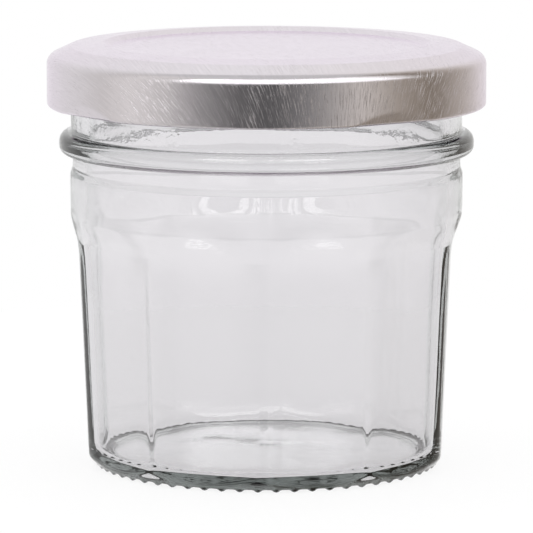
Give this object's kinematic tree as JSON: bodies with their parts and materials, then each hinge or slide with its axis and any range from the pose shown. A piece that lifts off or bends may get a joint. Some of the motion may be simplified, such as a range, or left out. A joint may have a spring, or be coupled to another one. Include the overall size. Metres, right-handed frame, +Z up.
{
  "type": "jam jar",
  "caption": "Empty clear glass preserving jar with flat-sided body, smooth shoulder band and bead, closed by a brushed metal twist-off lid",
  "frame": {"origin": "centre of the foot, where the jar stands on the table", "axes": "+Z up along the jar's axis; one corner of the ten-sided body looks along -Y, so a flat side looks along +X"},
  "size_m": [0.0856, 0.0856, 0.0828],
  "materials": {
    "glass": "clear colourless pressed soda-lime glass, polished, with a faint green-grey tint in the thick foot",
    "lid_metal": "brushed tinplate under clear lacquer, satin, with scattered fine scratches"
  },
  "bodies": {
    "root": {"jar": "glass", "lid": "lid_metal"}
  },
  "joints": []
}
